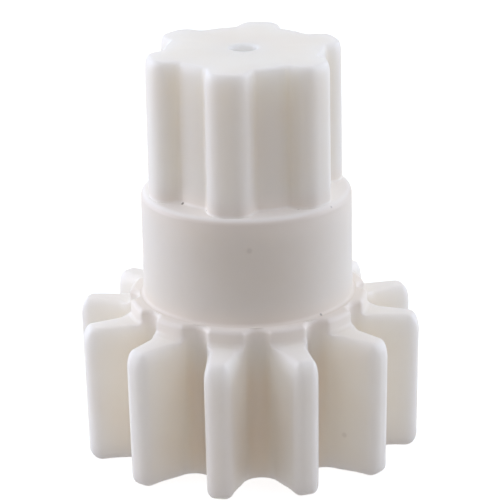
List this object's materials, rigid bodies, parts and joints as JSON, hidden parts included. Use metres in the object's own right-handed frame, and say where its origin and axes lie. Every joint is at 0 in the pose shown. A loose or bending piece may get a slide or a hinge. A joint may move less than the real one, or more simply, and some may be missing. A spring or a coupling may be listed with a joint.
{
  "type": "moulded spur gear with pinion",
  "caption": "Moulded white plastic drive gear: a large toothed ring, a plain round collar and a small pinion in line on one axis, keyed on a bored hub core.",
  "frame": {"origin": "on the gear's axis, at the open end face of the large gear, which the part stands on", "axes": "+Z along the axis towards the pinion; X and Y each run through the middle of a large tooth space"},
  "size_m": [0.0296, 0.0296, 0.0361],
  "materials": {
    "white_acetal": "as-moulded natural white acetal, satin, slightly translucent"
  },
  "bodies": {
    "root": {"large_gear": "white_acetal", "collar": "white_acetal", "pinion": "white_acetal", "hub_core": "white_acetal"}
  },
  "joints": []
}
